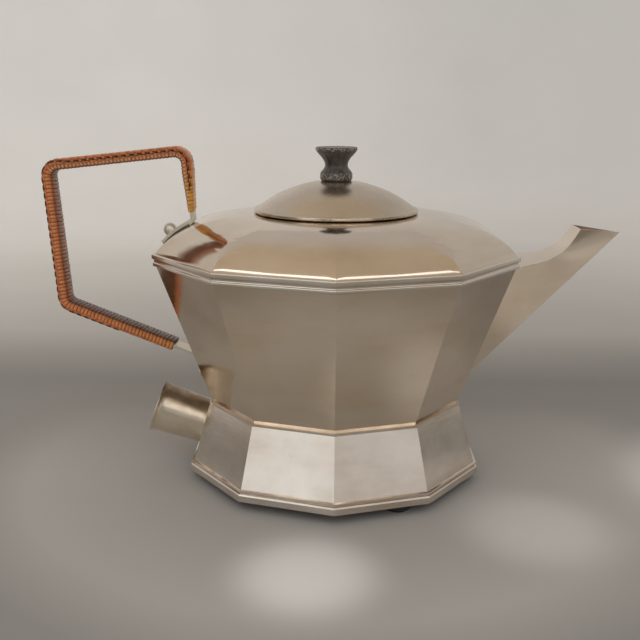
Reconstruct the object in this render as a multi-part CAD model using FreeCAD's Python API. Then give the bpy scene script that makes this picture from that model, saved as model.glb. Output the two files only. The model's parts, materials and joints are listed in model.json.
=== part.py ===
import FreeCAD, Part
import math
import os

os.makedirs("parts", exist_ok=True)

# Electric tea kettle with a ten-sided body, in millimetres.
# Origin: on the vessel's axis, in the plane the feet rest on. +Z is up, +X points to the spout.
# The body's corners lie at -90 degrees and every 36 degrees from there, so a flat facet faces +X and -X.
# Every "corner radius" below is the distance from the axis to a corner of the ten-sided section.

# ---- Driving dimensions -------------------------------------------------------------------------
SIDES = 10
SHEET = 1.0

FOOT_HEIGHT = 5.8
FOOT_RADIUS = 6.75
FOOT_CIRCLE = 65.3
FOOT_START_DEG = -62.0
FOOT_COUNT = 3
FOOT_NUT_NOTCH = 4.0

RIM_BOTTOM_Z = 5.0
RIM_TOP_Z = 10.8
RIM_CORNER = 78.4
BASE_PLATE = 1.2
BASE_SCREW_ANGLES = (0.0, 108.0, -108.0)
BASE_SCREW_CIRCLE = 69.4

PLINTH_FOOT_CORNER = 76.4
PLINTH_TOP_CORNER = 67.5
WAIST_Z = 41.1

BODY_WAIST_CORNER = 66.0
BODY_TOP_CORNER = 93.4
BODY_TOP_Z = 115.0
BODY_TAIL_Z = 38.6
FLOOR_Z = 42.6
FLOOR_THICKNESS = 1.2

LEDGE_CORNER = 95.0
LEDGE_TOP_Z = 119.8

# Outer line of the domed shoulder: corner radius, height, and how far each side is bowed out
# towards a true circle (0 is straight, 1 is round).
SHOULDER_LINE = (
    (93.4, 119.4, 0.0),
    (91.8, 121.6, 0.0),
    (86.0, 126.5, 0.03),
    (79.2, 130.2, 0.10),
    (71.0, 133.2, 0.20),
    (62.0, 135.5, 0.35),
    (52.0, 136.9, 0.55),
    (42.5, 137.35, 0.80),
    (39.5, 137.4, 0.90),
)
OPENING_RADIUS = 38.0

SEAT_WALL = 1.0
SEAT_TOP_Z = 137.4
SEAT_DEPTH = 8.5

LID_GAP = 0.3
LID_RADIUS = 42.2
LID_RIM_RADIUS = 1.0
LID_SHEET = 1.0
LID_LINE = (
    (41.6, 139.0),
    (38.2, 141.4),
    (31.3, 145.9),
    (22.2, 149.9),
    (14.1, 152.3),
    (8.2, 153.3),
)
FLANGE_RADIUS = 36.2
FLANGE_BOTTOM_Z = 131.6

KNOB_STUD_RADIUS = 2.0
KNOB_TOP_Z = 170.3
KNOB_RADIUS = 10.7

SPOUT_TIP = (146.4, 127.9)
SPOUT_KEEL_SLOPE = 1.024
# Upper edge of the spout: distance out from the axis, height, and half width there.
SPOUT_EDGE = (
    (88.9, 111.9, 20.7),
    (97.0, 113.6, 18.0),
    (105.1, 114.9, 15.2),
    (111.2, 117.3, 13.0),
    (116.2, 120.5, 11.2),
    (120.4, 125.3, 9.9),
    (123.7, 130.6, 9.2),
)
SPOUT_SHEET = 1.0
STRAINER_HOLE_RADIUS = 2.1
STRAINER_PITCH = 6.2
STRAINER_TOP_Z = 104.0

STRAP_WIDTH = 11.0
STRAP_THICKNESS = 1.6
CANE_WIDTH = 13.0
CANE_THICKNESS = 6.2
CANE_TAIL_WIDTH = 12.4
CANE_TAIL_THICKNESS = 3.6
CANE_EDGE_RADIUS = 2.4
HANDLE_BOTTOM_CORNER = (-141.6, 88.8)
HANDLE_TOP_CORNER = (-147.0, 160.3)
HANDLE_INNER_CORNER = (-76.3, 168.2)
HANDLE_BEND_RADIUS = 6.0
CANE_START_X = -85.0
CANE_TAIL_Z = 157.0
CANE_END_Z = 137.4
UPPER_FOOT_BEND = (-73.4, 131.9)
UPPER_FOOT_END_X = -88.0
LOWER_FOOT_TOP_Z = 61.0
LOWER_FOOT_END_Z = 46.5
GASKET_THICKNESS = 0.9
UPPER_NUT_X = -83.4
LOWER_NUT_Z = 52.3
DOME_NUT_RADIUS = 3.4
BOLT_RADIUS = 1.75

SHROUD_CENTRE_Z = 23.2
SHROUD_TILT_DEG = 19.0
SHROUD_LENGTH = 27.6
SHROUD_ROOT_RADIUS = 12.0
SHROUD_MOUTH_RADIUS = 13.0
SHROUD_RIM_RADIUS = 14.2
SHROUD_WALL = 1.0
PIN_RADIUS = 2.0
PIN_SHANK_RADIUS = 1.6
PIN_LENGTH = 13.0
INSULATOR_FACE = 5.0
PIN_SPACING = 11.0

ELEMENT_RADIUS = 48.0
CLAMP_RADIUS = 50.0
POST_X = -40.0
POST_SPACING = 16.0

Z_AXIS = FreeCAD.Vector(0, 0, 1)


# ---- Shared helpers -----------------------------------------------------------------------------
def corner_angle(index):
    return math.radians(-90.0 + 360.0 / SIDES * index)


def polar(radius, angle, z):
    return FreeCAD.Vector(radius * math.cos(angle), radius * math.sin(angle), z)


def flat_radius(corner_radius):
    return corner_radius * math.cos(math.pi / SIDES)


def solid_from_faces(faces):
    shell = Part.Shell(faces)
    solid = Part.Solid(shell)
    if solid.Volume < 0:
        solid.reverse()
    return solid


def ten_sided_ring(profile):
    # One flat face for each side of each line of a closed (corner radius, height) profile.
    faces = []
    count = len(profile)
    for i in range(count):
        r0, z0 = profile[i]
        r1, z1 = profile[(i + 1) % count]
        for side in range(SIDES):
            a = corner_angle(side)
            b = corner_angle(side + 1)
            points = [polar(r0, a, z0), polar(r0, b, z0), polar(r1, b, z1), polar(r1, a, z1)]
            faces.append(Part.Face(Part.makePolygon(points + [points[0]])))
    return solid_from_faces(faces)


def ten_sided_block(bottom, top):
    # A solid between two ten-sided sections, each given as (corner radius, height).
    faces = []
    for side in range(SIDES):
        a = corner_angle(side)
        b = corner_angle(side + 1)
        points = [polar(bottom[0], a, bottom[1]), polar(bottom[0], b, bottom[1]),
                  polar(top[0], b, top[1]), polar(top[0], a, top[1])]
        faces.append(Part.Face(Part.makePolygon(points + [points[0]])))
    for radius, z in (bottom, top):
        points = [polar(radius, corner_angle(i), z) for i in range(SIDES)]
        faces.append(Part.Face(Part.makePolygon(points + [points[0]])))
    return solid_from_faces(faces)


def turned(profile):
    # A solid of revolution about Z from a closed polygon of (radius, height) points.
    points = [FreeCAD.Vector(r, 0, z) for r, z in profile]
    face = Part.Face(Part.makePolygon(points + [points[0]]))
    return face.revolve(FreeCAD.Vector(0, 0, 0), Z_AXIS, 360)


def rod(radius, start, end):
    direction = end - start
    return Part.makeCylinder(radius, direction.Length, start, direction)


def hexagon(radius, height, base, axis):
    points = []
    for i in range(7):
        angle = math.radians(60 * i)
        points.append(FreeCAD.Vector(radius * math.cos(angle), radius * math.sin(angle), 0))
    prism = Part.Face(Part.makePolygon(points)).extrude(FreeCAD.Vector(0, 0, height))
    prism.Placement = FreeCAD.Placement(base, FreeCAD.Rotation(Z_AXIS, axis))
    return prism


def wall_corner(z):
    slope = (BODY_TOP_CORNER - BODY_WAIST_CORNER) / (BODY_TOP_Z - WAIST_Z)
    return BODY_WAIST_CORNER + slope * (z - WAIST_Z)


def plinth_corner(z):
    slope = (PLINTH_TOP_CORNER - PLINTH_FOOT_CORNER) / (WAIST_Z - RIM_TOP_Z)
    return PLINTH_FOOT_CORNER + slope * (z - RIM_TOP_Z)


def outward(corner_a, corner_b, z_a, z_b, side):
    # Unit normal, in the XZ plane, of the facet that faces +X (side 1) or -X (side -1).
    run = flat_radius(corner_b) - flat_radius(corner_a)
    rise = z_b - z_a
    length = math.hypot(run, rise)
    return FreeCAD.Vector(side * rise / length, 0, -run / length)


# ---- Vessel -------------------------------------------------------------------------------------
def bowed_section(radius, z, bow):
    edges = []
    for side in range(SIDES):
        a = corner_angle(side)
        b = corner_angle(side + 1)
        start = polar(radius, a, z)
        end = polar(radius, b, z)
        if bow == 0.0:
            edges.append(Part.makeLine(start, end))
        else:
            middle = flat_radius(radius) + bow * (radius - flat_radius(radius))
            edges.append(Part.Arc(start, polar(middle, (a + b) / 2, z), end).toShape())
    return Part.Wire(edges)


def shoulder_block(drop):
    # The dome's outer skin moved inward by "drop" along its own slope, closed to a solid.
    sections = []
    count = len(SHOULDER_LINE)
    for i in range(count):
        before = SHOULDER_LINE[max(i - 1, 0)]
        after = SHOULDER_LINE[min(i + 1, count - 1)]
        run = after[0] - before[0]
        rise = after[1] - before[1]
        length = math.hypot(run, rise)
        radius, z, bow = SHOULDER_LINE[i]
        sections.append(bowed_section(radius - drop * rise / length, z + drop * run / length, bow))
    return Part.makeLoft(sections, True, False)


def shoulder_cover():
    outer = shoulder_block(0.0)
    inner = shoulder_block(SHEET)
    opening = Part.makeCylinder(OPENING_RADIUS, 60, FreeCAD.Vector(0, 0, 100))
    return outer.cut(inner).cut(opening).cut(handle_bolt_holes())


def body_block():
    return ten_sided_block((wall_corner(BODY_TAIL_Z), BODY_TAIL_Z), (BODY_TOP_CORNER, BODY_TOP_Z))


def body_shell():
    thick = SHEET / math.cos(math.pi / SIDES)
    lip = BODY_TOP_CORNER - 0.6
    profile = (
        (wall_corner(BODY_TAIL_Z), BODY_TAIL_Z),
        (BODY_TOP_CORNER, BODY_TOP_Z),
        (lip, LEDGE_TOP_Z - 2.2),
        (lip - thick, LEDGE_TOP_Z - 2.2),
        (BODY_TOP_CORNER - 1.1 * thick, BODY_TOP_Z),
        (wall_corner(BODY_TAIL_Z) - 1.1 * thick, BODY_TAIL_Z),
    )
    shell = ten_sided_ring(profile)
    return shell.cut(Part.makeCompound(strainer_holes())).cut(handle_bolt_holes())


def strainer_holes():
    # Rows of pouring holes through the +X facet, inside the spout's V.
    normal = outward(BODY_WAIST_CORNER, BODY_TOP_CORNER, WAIST_Z, BODY_TOP_Z, 1)
    holes = []
    for row in range(5):
        z = STRAINER_TOP_Z - STRAINER_PITCH * row
        for place in range(5 - row):
            y = STRAINER_PITCH * (place - (4 - row) / 2)
            centre = FreeCAD.Vector(flat_radius(wall_corner(z)), y, z)
            holes.append(rod(STRAINER_HOLE_RADIUS, centre - normal * 4, centre + normal * 3))
    return holes


def vessel_floor():
    thick = 1.1 * SHEET / math.cos(math.pi / SIDES)
    top = FLOOR_Z + FLOOR_THICKNESS
    plate = ten_sided_block((wall_corner(FLOOR_Z) - thick, FLOOR_Z), (wall_corner(top) - thick, top))
    return plate.cut(Part.makeCylinder(3.0, 10, FreeCAD.Vector(0, 0, FLOOR_Z - 4)))


def ledge_moulding():
    profile = (
        (wall_corner(113.4), 113.4),
        (94.5, 113.9),
        (94.5, 115.3),
        (93.9, 115.8),
        (93.9, 116.9),
        (LEDGE_CORNER, 117.5),
        (LEDGE_CORNER, 119.3),
        (94.4, LEDGE_TOP_Z),
        (93.4, LEDGE_TOP_Z),
        (93.4, 119.4),
        (91.4, 119.4),
        (91.4, LEDGE_TOP_Z - 2.2),
        (BODY_TOP_CORNER - 0.6, LEDGE_TOP_Z - 2.2),
        (BODY_TOP_CORNER, BODY_TOP_Z),
    )
    return ten_sided_ring(profile)


def lid_seat_ring():
    inner = OPENING_RADIUS - SEAT_WALL
    return turned((
        (inner, SEAT_TOP_Z - SEAT_DEPTH),
        (OPENING_RADIUS, SEAT_TOP_Z - SEAT_DEPTH),
        (OPENING_RADIUS, SEAT_TOP_Z),
        (inner, SEAT_TOP_Z),
    ))


# ---- Lid ----------------------------------------------------------------------------------------
def lid_curve(drop):
    points = []
    count = len(LID_LINE)
    for i in range(count):
        before = LID_LINE[max(i - 1, 0)]
        after = LID_LINE[min(i + 1, count - 1)]
        run = after[0] - before[0]
        rise = after[1] - before[1]
        length = math.hypot(run, rise)
        radius, z = LID_LINE[i]
        points.append(FreeCAD.Vector(radius - drop * rise / length, 0, z + drop * run / length))
    curve = Part.BSplineCurve()
    curve.interpolate(points)
    return curve.toShape(), points


def lid_dome():
    outer, outer_points = lid_curve(0.0)
    inner, inner_points = lid_curve(LID_SHEET)
    crown = FreeCAD.Vector(KNOB_STUD_RADIUS, 0, outer_points[-1].z)
    crown_inner = FreeCAD.Vector(KNOB_STUD_RADIUS, 0, inner_points[-1].z)
    edges = [
        outer,
        Part.makeLine(outer_points[-1], crown),
        Part.makeLine(crown, crown_inner),
        Part.makeLine(crown_inner, inner_points[-1]),
        inner,
        Part.makeLine(inner_points[0], outer_points[0]),
    ]
    face = Part.Face(Part.Wire(Part.__sortEdges__(edges)))
    dome = face.revolve(FreeCAD.Vector(0, 0, 0), Z_AXIS, 360)
    rim_z = SEAT_TOP_Z + LID_GAP + LID_RIM_RADIUS
    rim = Part.makeTorus(LID_RADIUS - LID_RIM_RADIUS, LID_RIM_RADIUS, FreeCAD.Vector(0, 0, rim_z))
    return dome.fuse(rim).removeSplitter()


def lid_flange():
    inner, inner_points = lid_curve(LID_SHEET)
    first = inner_points[0]
    last = inner_points[-1]
    low = FreeCAD.Vector(0, 0, FLANGE_BOTTOM_Z)
    edges = [
        inner,
        Part.makeLine(last, FreeCAD.Vector(0, 0, last.z)),
        Part.makeLine(FreeCAD.Vector(0, 0, last.z), low),
        Part.makeLine(low, FreeCAD.Vector(first.x, 0, FLANGE_BOTTOM_Z)),
        Part.makeLine(FreeCAD.Vector(first.x, 0, FLANGE_BOTTOM_Z), first),
    ]
    under_dome = Part.Face(Part.Wire(Part.__sortEdges__(edges)))
    under_dome = under_dome.revolve(FreeCAD.Vector(0, 0, 0), Z_AXIS, 360)
    tube = turned((
        (FLANGE_RADIUS - LID_SHEET, FLANGE_BOTTOM_Z),
        (FLANGE_RADIUS, FLANGE_BOTTOM_Z),
        (FLANGE_RADIUS, 150),
        (FLANGE_RADIUS - LID_SHEET, 150),
    ))
    return tube.common(under_dome)


def lid_knob():
    base = LID_LINE[-1][1]
    return turned((
        (KNOB_STUD_RADIUS, base),
        (7.4, base),
        (8.1, base + 0.9),
        (8.3, base + 1.7),
        (8.3, base + 3.7),
        (7.8, base + 4.6),
        (6.6, base + 6.0),
        (5.9, base + 7.2),
        (5.8, base + 8.1),
        (6.0, base + 9.3),
        (6.5, base + 10.4),
        (7.4, base + 11.7),
        (8.4, base + 12.8),
        (9.7, base + 14.3),
        (KNOB_RADIUS, base + 15.7),
        (KNOB_RADIUS, KNOB_TOP_Z - 0.6),
        (10.3, KNOB_TOP_Z),
        (0, KNOB_TOP_Z),
        (0, base + 12.0),
        (KNOB_STUD_RADIUS, base + 12.0),
    ))


def knob_stud():
    base = LID_LINE[-1][1]
    return rod(KNOB_STUD_RADIUS, FreeCAD.Vector(0, 0, base - 6.6), FreeCAD.Vector(0, 0, base + 12.0))


def knob_washer():
    top = LID_LINE[-1][1] - LID_SHEET
    return turned(((KNOB_STUD_RADIUS, top - 0.8), (6.0, top - 0.8), (6.0, top), (KNOB_STUD_RADIUS, top)))


def knob_nut():
    top = LID_LINE[-1][1] - LID_SHEET - 0.8
    nut = hexagon(4.2, 3.2, FreeCAD.Vector(0, 0, top - 3.2), Z_AXIS)
    return nut.cut(Part.makeCylinder(KNOB_STUD_RADIUS, 10, FreeCAD.Vector(0, 0, top - 6)))


# ---- Spout --------------------------------------------------------------------------------------
def keel_point(x):
    return FreeCAD.Vector(x, 0, SPOUT_TIP[1] - (SPOUT_TIP[0] - x) * SPOUT_KEEL_SLOPE)


def trough_solid(edge, root, tip):
    # A closed V trough: two side walls from the keel to the upper edges, a top, a root and a mouth.
    near = Part.BSplineCurve()
    near.interpolate([FreeCAD.Vector(x, -m, z) for x, z, m in edge])
    far = Part.BSplineCurve()
    far.interpolate([FreeCAD.Vector(x, m, z) for x, z, m in edge])
    keel = Part.makeLine(root, tip)
    faces = [
        Part.makeRuledSurface(near.toShape(), keel),
        Part.makeRuledSurface(far.toShape(), keel),
        Part.makeRuledSurface(near.toShape(), far.toShape()),
    ]
    for (x, z, m), low in ((edge[0], root), (edge[-1], tip)):
        left = FreeCAD.Vector(x, -m, z)
        right = FreeCAD.Vector(x, m, z)
        faces.append(Part.Face(Part.makePolygon([left, right, low, left])))
    return solid_from_faces(faces)


def spout_outer():
    inside = (SPOUT_EDGE[0][0] - 12, SPOUT_EDGE[0][1] - 1.8, SPOUT_EDGE[0][2] + 3.6)
    return trough_solid((inside,) + SPOUT_EDGE, keel_point(60.0), keel_point(SPOUT_TIP[0]))


def spout_inner():
    edge = []
    rise = SPOUT_SHEET / 0.33
    for x, z, m in SPOUT_EDGE:
        height = z - keel_point(x).z
        edge.append((x, z - SPOUT_SHEET, m * (height - SPOUT_SHEET - rise) / height))
    first = edge[0]
    last = edge[-1]
    edge.insert(0, (first[0] - 13, first[1] - 2.0, first[2] + 3.9))
    edge.append((last[0] + 3.4, last[1] + 5.2, last[2] * 0.86))
    lift = FreeCAD.Vector(0, 0, rise)
    return trough_solid(edge, keel_point(50.0) + lift, keel_point(SPOUT_TIP[0] + 8.0) + lift)


def spout_shell():
    return spout_outer().cut(spout_inner()).cut(body_block())


# ---- Handle -------------------------------------------------------------------------------------
def offset_line(points, distance):
    # Mitred offset of an open (x, z) line; a positive distance goes to its left.
    result = []
    count = len(points)
    for i in range(count):
        normals = []
        if i > 0:
            normals.append(left_normal(points[i - 1], points[i]))
        if i < count - 1:
            normals.append(left_normal(points[i], points[i + 1]))
        mean = FreeCAD.Vector(0, 0, 0)
        for normal in normals:
            mean = mean + normal
        mean.normalize()
        scale = distance / mean.dot(normals[0])
        result.append((points[i][0] + mean.x * scale, points[i][1] + mean.z * scale))
    return result


def left_normal(start, end):
    direction = FreeCAD.Vector(end[0] - start[0], 0, end[1] - start[1])
    direction.normalize()
    return FreeCAD.Vector(-direction.z, 0, direction.x)


def rounded_line(points, radii):
    # Straight lines through (x, z) points in the XZ plane, with a tangent arc at each inner corner.
    edges = []
    current = FreeCAD.Vector(points[0][0], 0, points[0][1])
    for i in range(1, len(points) - 1):
        corner = FreeCAD.Vector(points[i][0], 0, points[i][1])
        before = FreeCAD.Vector(points[i - 1][0], 0, points[i - 1][1]) - corner
        after = FreeCAD.Vector(points[i + 1][0], 0, points[i + 1][1]) - corner
        before.normalize()
        after.normalize()
        half = before.getAngle(after) / 2
        reach = radii[i - 1] / math.tan(half)
        bisector = before + after
        bisector.normalize()
        centre = corner + bisector * (radii[i - 1] / math.sin(half))
        start = corner + before * reach
        end = corner + after * reach
        middle = centre - bisector * radii[i - 1]
        edges.append(Part.makeLine(current, start))
        edges.append(Part.Arc(start, middle, end).toShape())
        current = end
    edges.append(Part.makeLine(current, FreeCAD.Vector(points[-1][0], 0, points[-1][1])))
    return edges


def turns_left(points, i):
    ax = points[i][0] - points[i - 1][0]
    az = points[i][1] - points[i - 1][1]
    bx = points[i + 1][0] - points[i][0]
    bz = points[i + 1][1] - points[i][1]
    return ax * bz - az * bx > 0


def band(points, radii, thickness, width):
    # A flat bar of constant thickness bent along an (x, z) line, as wide as "width" across Y.
    half = thickness / 2
    left_radii = []
    right_radii = []
    for i in range(1, len(points) - 1):
        step = -half if turns_left(points, i) else half
        left_radii.append(radii[i - 1] + step)
        right_radii.append(radii[i - 1] - step)
    left = offset_line(points, half)
    right = offset_line(points, -half)
    edges = rounded_line(left, left_radii)
    edges += rounded_line(right, right_radii)
    for index in (0, -1):
        start = FreeCAD.Vector(left[index][0], 0, left[index][1])
        end = FreeCAD.Vector(right[index][0], 0, right[index][1])
        edges.append(Part.makeLine(start, end))
    face = Part.Face(Part.Wire(Part.__sortEdges__(edges)))
    face.translate(FreeCAD.Vector(0, -width / 2, 0))
    return face.extrude(FreeCAD.Vector(0, width, 0))


def along(start, end, coordinate, value):
    # The point on the line from start to end where x (0) or z (1) has the given value.
    share = (value - start[coordinate]) / (end[coordinate] - start[coordinate])
    return (start[0] + share * (end[0] - start[0]), start[1] + share * (end[1] - start[1]))


def facet_point(z, proud):
    normal = outward(BODY_WAIST_CORNER, BODY_TOP_CORNER, WAIST_Z, BODY_TOP_Z, -1)
    return (-flat_radius(wall_corner(z)) + normal.x * proud, z + normal.z * proud)


def shoulder_height(x):
    # Height of the dome over the middle of the -X facet.
    radius = abs(x)
    for (r0, z0, b0), (r1, z1, b1) in zip(SHOULDER_LINE, SHOULDER_LINE[1:]):
        outer = flat_radius(r0) + b0 * (r0 - flat_radius(r0))
        inner = flat_radius(r1) + b1 * (r1 - flat_radius(r1))
        if inner <= radius <= outer:
            return z0 + (outer - radius) / (outer - inner) * (z1 - z0)
    return SHOULDER_LINE[0][1]


def shoulder_strip(low, high):
    # A strip on the middle of the -X side of the dome, between two heights above its surface.
    count = 6
    step = (UPPER_FOOT_END_X + 74.8) / (count - 1)
    line = [(-74.8 + step * i, shoulder_height(-74.8 + step * i)) for i in range(count)]
    under = offset_line(line, -low)
    over = offset_line(line, -high)
    outline = [FreeCAD.Vector(x, -STRAP_WIDTH / 2, z) for x, z in under + over[::-1]]
    return Part.Face(Part.makePolygon(outline + [outline[0]])).extrude(FreeCAD.Vector(0, STRAP_WIDTH, 0))


def handle_line():
    tang = facet_point(LOWER_FOOT_TOP_Z, STRAP_THICKNESS / 2)
    bend = (-77.6, shoulder_height(-77.6) + GASKET_THICKNESS + 0.95)
    return [
        facet_point(LOWER_FOOT_END_Z, STRAP_THICKNESS / 2),
        tang,
        HANDLE_BOTTOM_CORNER,
        HANDLE_TOP_CORNER,
        HANDLE_INNER_CORNER,
        UPPER_FOOT_BEND,
        bend,
    ]


def upper_bolt_line():
    # Foot of the upper bolt on the dome, and the direction the bolt points.
    x = UPPER_NUT_X
    slope = (shoulder_height(x + 2) - shoulder_height(x - 2)) / 4
    axis = FreeCAD.Vector(-slope, 0, 1)
    axis.normalize()
    return FreeCAD.Vector(x, 0, shoulder_height(x)), axis


def lower_bolt_line():
    x, z = facet_point(LOWER_NUT_Z, 0.0)
    axis = outward(BODY_WAIST_CORNER, BODY_TOP_CORNER, WAIST_Z, BODY_TOP_Z, -1)
    return FreeCAD.Vector(x, 0, z), axis


def handle_bolt_holes():
    holes = []
    for foot, axis in (upper_bolt_line(), lower_bolt_line()):
        holes.append(rod(BOLT_RADIUS, foot - axis * 6, foot + axis * 7))
    return Part.makeCompound(holes)


def handle_strap():
    bends = (3.0, HANDLE_BEND_RADIUS, HANDLE_BEND_RADIUS, HANDLE_BEND_RADIUS, 2.0)
    strap = band(handle_line(), bends, STRAP_THICKNESS, STRAP_WIDTH)
    foot = shoulder_strip(GASKET_THICKNESS, GASKET_THICKNESS + STRAP_THICKNESS)
    strap = strap.fuse(foot).removeSplitter()
    strap = strap.cut(shoulder_strip(-3.0, GASKET_THICKNESS)).cut(body_block())
    return strap.cut(handle_bolt_holes())


def foot_gasket():
    pad = shoulder_strip(-0.3, GASKET_THICKNESS).cut(shoulder_block(0.0))
    return pad.cut(handle_bolt_holes())


def cane_tail(top, bottom):
    # The last turns taper down to the bare strap.
    sections = []
    for (x, z), width, thickness in (
        (top, CANE_WIDTH, CANE_THICKNESS),
        (bottom, CANE_TAIL_WIDTH, CANE_TAIL_THICKNESS),
    ):
        outline = []
        radius = min(CANE_EDGE_RADIUS, 0.45 * thickness)
        for sx, sy in ((1, 1), (-1, 1), (-1, -1), (1, -1)):
            near_x = FreeCAD.Vector(x + sx * (thickness / 2 - radius), sy * width / 2, z)
            near_y = FreeCAD.Vector(x + sx * thickness / 2, sy * (width / 2 - radius), z)
            outline.append((near_y, near_x) if sx == sy else (near_x, near_y))
        points = [point for pair in outline for point in pair]
        sections.append(Part.makePolygon(points + [points[0]]))
    return Part.makeLoft(sections, True, True)


def handle_cane():
    points = handle_line()
    start = along(points[1], points[2], 0, CANE_START_X)
    tail = along(points[4], points[5], 1, CANE_TAIL_Z)
    end = along(points[4], points[5], 1, CANE_END_Z)
    line = [start, points[2], points[3], points[4], tail]
    wrap = band(line, (HANDLE_BEND_RADIUS,) * 3, CANE_THICKNESS, CANE_WIDTH)
    long_edges = []
    for edge in wrap.Edges:
        lies_in_side = all(abs(abs(vertex.Y) - CANE_WIDTH / 2) < 0.01 for vertex in edge.Vertexes)
        ends = [vertex.Point for vertex in edge.Vertexes]
        caps = (FreeCAD.Vector(start[0], 0, start[1]), FreeCAD.Vector(tail[0], 0, tail[1]))
        at_cap = any(all(math.hypot(p.x - c.x, p.z - c.z) < CANE_THICKNESS for p in ends) for c in caps)
        if lies_in_side and ends[0].y * ends[1].y > 0 and not at_cap:
            long_edges.append(edge)
    wrap = wrap.makeFillet(CANE_EDGE_RADIUS, long_edges)
    wrap = wrap.fuse(cane_tail(tail, end))
    core = band(points, (3.0,) + (HANDLE_BEND_RADIUS,) * 3 + (2.0,), STRAP_THICKNESS, STRAP_WIDTH)
    return wrap.cut(core)


def dome_nut(base, axis):
    collar = rod(DOME_NUT_RADIUS, base, base + axis * 1.2)
    ball = Part.makeSphere(DOME_NUT_RADIUS, base + axis * 1.2)
    under = rod(DOME_NUT_RADIUS * 2, base - axis * 8, base)
    nut = collar.fuse(ball).cut(under).removeSplitter()
    return nut.cut(rod(BOLT_RADIUS, base - axis, base + axis * 2.6))


def handle_dome_nuts():
    foot, axis = upper_bolt_line()
    upper = dome_nut(foot + axis * (GASKET_THICKNESS + STRAP_THICKNESS), axis)
    foot, axis = lower_bolt_line()
    lower = dome_nut(foot + axis * STRAP_THICKNESS, axis)
    return Part.makeCompound([upper, lower])


def handle_bolt(foot, axis, wall, stack):
    inside = foot - axis * wall
    shank = rod(BOLT_RADIUS, inside - axis, foot + axis * (stack + 2.6))
    head = rod(3.6, inside - axis * 1.8, inside)
    return shank.fuse(head).removeSplitter()


def handle_bolts():
    foot, axis = upper_bolt_line()
    upper = handle_bolt(foot, axis, SHEET + 0.4, GASKET_THICKNESS + STRAP_THICKNESS)
    foot, axis = lower_bolt_line()
    lower = handle_bolt(foot, axis, SHEET + 0.3, STRAP_THICKNESS)
    return Part.makeCompound([upper, lower])


# ---- Plinth -------------------------------------------------------------------------------------
def plinth_shell():
    thick = 1.03 * SHEET / math.cos(math.pi / SIDES)
    lip_z = WAIST_Z - 1.2
    profile = (
        (PLINTH_FOOT_CORNER, RIM_TOP_Z),
        (plinth_corner(WAIST_Z - 0.9), WAIST_Z - 0.9),
        (PLINTH_TOP_CORNER + 0.25, WAIST_Z - 0.7),
        (PLINTH_TOP_CORNER + 0.25, WAIST_Z),
        (wall_corner(WAIST_Z), WAIST_Z),
        (wall_corner(lip_z), lip_z),
        (plinth_corner(lip_z) - thick, lip_z),
        (PLINTH_FOOT_CORNER - thick, RIM_TOP_Z),
    )
    return ten_sided_ring(profile).cut(shroud_block())


def plinth_rim():
    rim = ten_sided_ring((
        (RIM_CORNER, RIM_BOTTOM_Z),
        (RIM_CORNER, 8.0),
        (77.9, 8.7),
        (77.1, 8.9),
        (77.1, 9.5),
        (77.9, 9.9),
        (77.8, 10.4),
        (77.0, RIM_TOP_Z),
        (74.8, RIM_TOP_Z),
        (74.8, 8.4),
        (70.0, 8.4),
        (70.0, FOOT_HEIGHT + BASE_PLATE),
        (75.9, FOOT_HEIGHT + BASE_PLATE),
        (75.9, RIM_BOTTOM_Z),
    ))
    rim = rim.cut(Part.makeCompound(base_screw_rods(1.5)))
    for centre in foot_centres():
        notch = rod(FOOT_NUT_NOTCH, centre + Z_AXIS * FOOT_HEIGHT, centre + Z_AXIS * 10)
        rim = rim.cut(notch)
    return rim


def base_screw_rods(radius):
    rods = []
    for degrees in BASE_SCREW_ANGLES:
        foot = polar(BASE_SCREW_CIRCLE, math.radians(degrees), FOOT_HEIGHT - 1)
        rods.append(rod(radius, foot, foot + Z_AXIS * 5.0))
    return rods


def foot_centres():
    centres = []
    for i in range(FOOT_COUNT):
        angle = math.radians(FOOT_START_DEG + 360.0 / FOOT_COUNT * i)
        centres.append(polar(FOOT_CIRCLE, angle, 0))
    return centres


def base_plate():
    plate = ten_sided_block((75.4, FOOT_HEIGHT), (75.4, FOOT_HEIGHT + BASE_PLATE))
    plate = plate.cut(Part.makeCompound(base_screw_rods(1.5)))
    for centre in foot_centres():
        plate = plate.cut(Part.makeCylinder(1.5, 12, centre))
    return plate


def base_screws():
    screws = []
    for degrees in BASE_SCREW_ANGLES:
        foot = polar(BASE_SCREW_CIRCLE, math.radians(degrees), FOOT_HEIGHT)
        shank = rod(1.5, foot, foot + Z_AXIS * 4.0)
        head = Part.makeCone(1.9, 2.7, 0.7, foot - Z_AXIS * 0.7)
        screws.append(shank.fuse(head).removeSplitter())
    return Part.makeCompound(screws)


def feet():
    solids = []
    for centre in foot_centres():
        foot = turned((
            (3.0, 0),
            (FOOT_RADIUS - 1.2, 0),
            (FOOT_RADIUS, 1.4),
            (FOOT_RADIUS, FOOT_HEIGHT - 1.0),
            (FOOT_RADIUS - 0.6, FOOT_HEIGHT),
            (1.5, FOOT_HEIGHT),
            (1.5, 3.2),
            (3.0, 3.2),
        ))
        foot.translate(centre)
        solids.append(foot)
    return Part.makeCompound(solids)


def foot_screws():
    screws = []
    for centre in foot_centres():
        shank = rod(1.5, centre + Z_AXIS * 3.2, centre + Z_AXIS * 10.4)
        head = rod(2.7, centre + Z_AXIS * 1.6, centre + Z_AXIS * 3.2)
        nut = hexagon(3.0, 2.2, centre + Z_AXIS * (FOOT_HEIGHT + BASE_PLATE), Z_AXIS)
        screws.append(shank.fuse([head, nut]).removeSplitter())
    return Part.makeCompound(screws)


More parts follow.
